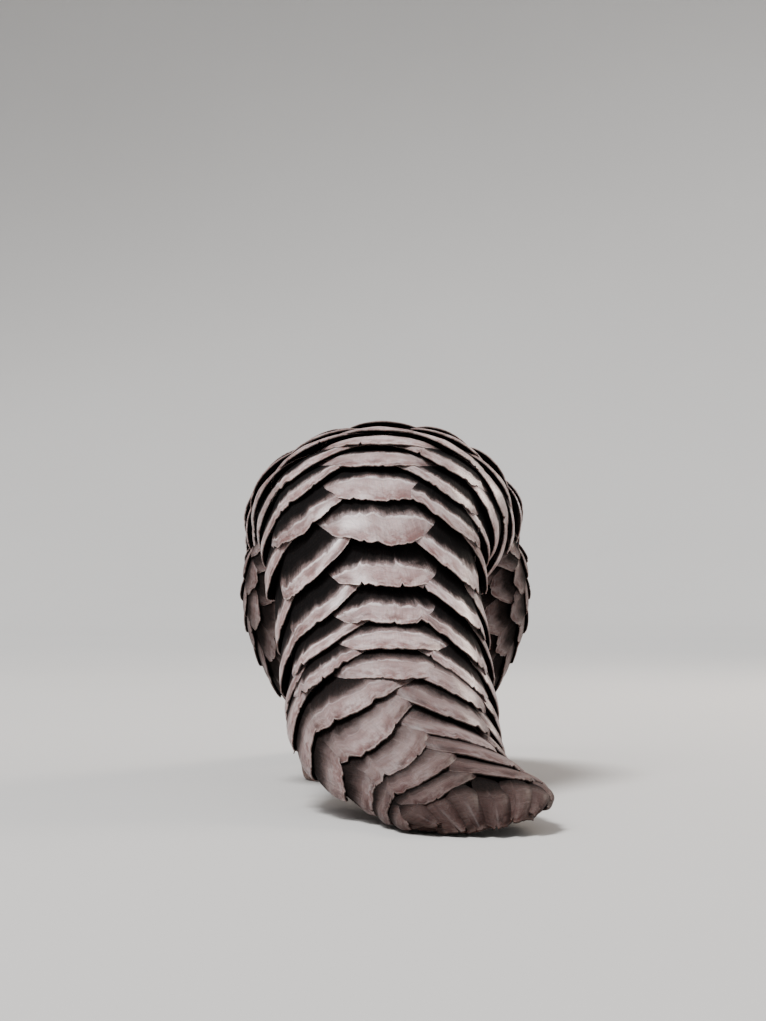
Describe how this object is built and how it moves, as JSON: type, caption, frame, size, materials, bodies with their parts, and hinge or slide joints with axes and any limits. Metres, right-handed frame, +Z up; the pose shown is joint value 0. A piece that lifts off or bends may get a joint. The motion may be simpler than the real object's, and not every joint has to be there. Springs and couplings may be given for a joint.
{
  "type": "ground pangolin model",
  "caption": "Life-size still model of a ground pangolin on all fours, back arched and head low, clad in overlapping scales, its broad tail curving down to the ground.",
  "frame": {"origin": "on the floor, under the middle of the model's box", "axes": "+Y towards the snout, -Y towards the end of the tail, +X to the animal's right, +Z up from the floor it stands on"},
  "size_m": [0.2214, 0.79, 0.2748],
  "materials": {
    "scale": "worn grey-brown horn, finely striated towards each root and paler along the free edges, with a soft sheen",
    "skin": "bare grey-brown skin, finely creased, matte",
    "claw": "pale worn horn, smooth, with dark soiled bases",
    "eye": "wet black-brown gloss"
  },
  "bodies": {
    "root": {"head": "scale", "neck": "scale", "torso_front": "scale", "torso_rear": "scale", "tail_base": "scale", "tail_middle": "scale", "tail_end": "scale", "hindleg_left": "scale", "hindleg_right": "scale", "foreleg_left": "scale", "foreleg_right": "scale", "eye_left": "eye", "eye_right": "eye", "ear_left": "skin", "ear_right": "skin", "hindclaw_left_1": "claw", "hindclaw_left_2": "claw", "hindclaw_left_3": "claw", "hindclaw_left_4": "claw", "hindclaw_left_5": "claw", "hindclaw_right_1": "claw", "hindclaw_right_2": "claw", "hindclaw_right_3": "claw", "hindclaw_right_4": "claw", "hindclaw_right_5": "claw", "foreclaw_left_1": "claw", "foreclaw_left_2": "claw", "foreclaw_left_3": "claw", "foreclaw_left_4": "claw", "foreclaw_left_5": "claw", "foreclaw_right_1": "claw", "foreclaw_right_2": "claw", "foreclaw_right_3": "claw", "foreclaw_right_4": "claw", "foreclaw_right_5": "claw"}
  },
  "joints": []
}
